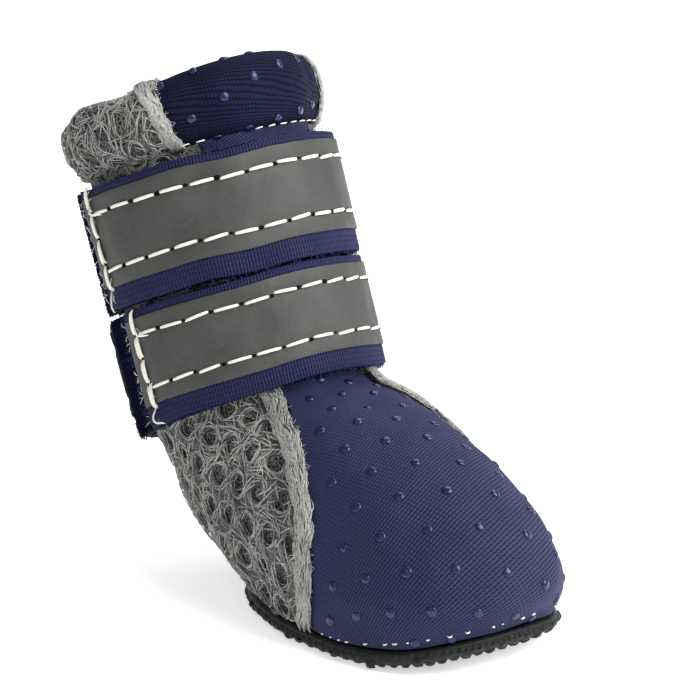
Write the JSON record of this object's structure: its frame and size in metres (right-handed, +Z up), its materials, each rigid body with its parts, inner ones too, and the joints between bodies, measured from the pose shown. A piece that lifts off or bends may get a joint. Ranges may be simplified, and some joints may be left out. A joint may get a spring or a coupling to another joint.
{
  "type": "dog boot",
  "caption": "Soft dog boot: mesh and dotted knit upper with a leaning shaft, a rolled collar, hook-and-loop straps and a thin rubber sole.",
  "frame": {"origin": "on the floor, under the middle of the sole's flat tread", "axes": "+X towards the toe, +Y to the boot's left, +Z up"},
  "size_m": [0.1031, 0.0434, 0.0857],
  "materials": {
    "sole_rubber": "matt black rubber with a fine raised tread",
    "insole_foam": "dark grey foam faced with cloth",
    "upper_mesh": "grey air mesh with round holes over a dark lining",
    "knit": "navy ribbed knit with small glossy raised dots",
    "loop_velvet": "dark navy loop pile",
    "strap_webbing": "ribbed navy tape",
    "reflective_tape": "matt warm grey reflective tape",
    "thread": "off-white sewing thread"
  },
  "bodies": {
    "root": {"sole": "sole_rubber", "insole": "insole_foam", "upper": "upper_mesh", "collar": "knit", "loop_tape_lower": "loop_velvet", "hook_strap_lower": "strap_webbing", "loop_tape_upper": "loop_velvet", "hook_strap_upper": "strap_webbing"}
  },
  "joints": []
}
